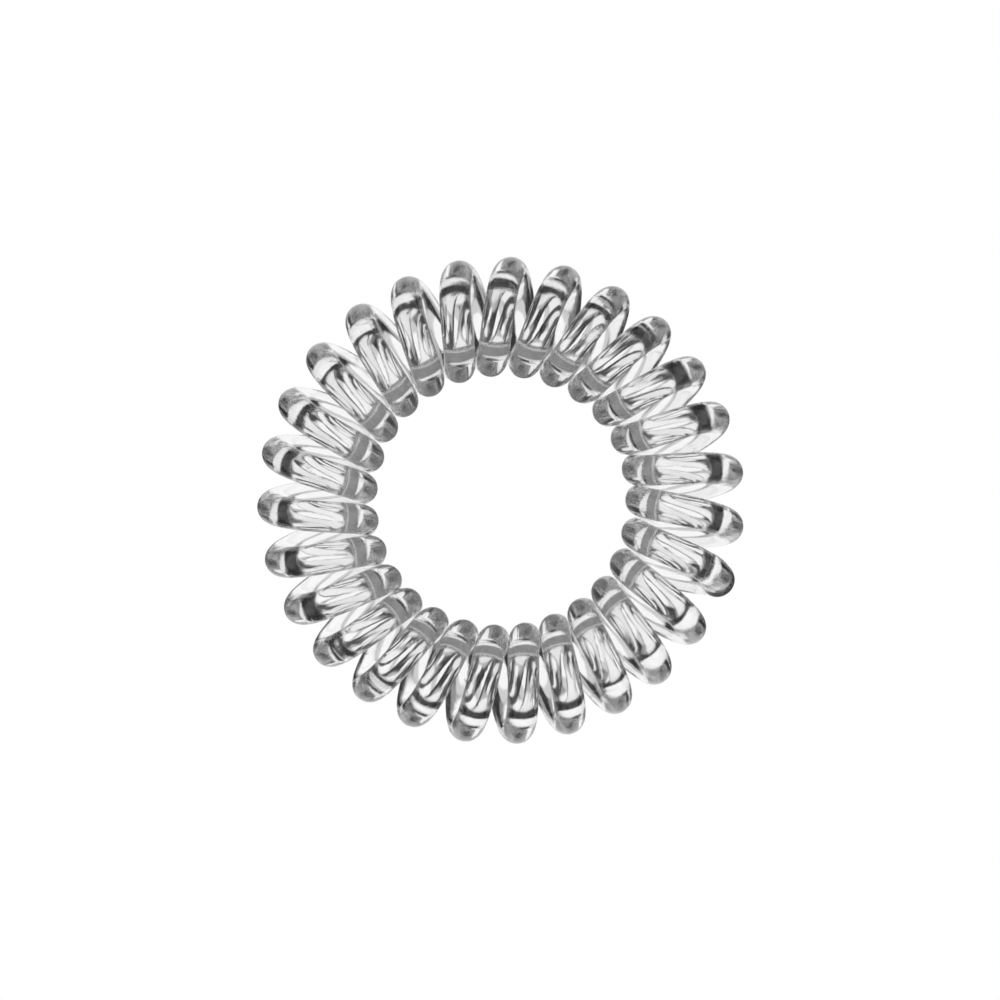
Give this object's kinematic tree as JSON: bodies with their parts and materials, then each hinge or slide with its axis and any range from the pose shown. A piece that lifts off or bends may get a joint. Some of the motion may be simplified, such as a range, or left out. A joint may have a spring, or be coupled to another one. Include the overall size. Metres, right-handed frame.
{
  "type": "spiral hair tie",
  "caption": "Closed ring of one clear elastic strand wound as a coil, stretched round a ponytail or bun to hold hair without a dent.",
  "frame": {"origin": "on the ring's axis, at the surface that the ring lies on", "axes": "+Z along the ring's axis, upwards; +Y towards the top of the picture and +X towards its right"},
  "size_m": [0.0389, 0.039, 0.0096],
  "materials": {
    "clear_strand": "clear, glossy, with faint lines along the strand"
  },
  "bodies": {
    "root": {"coil": "clear_strand"}
  },
  "joints": []
}
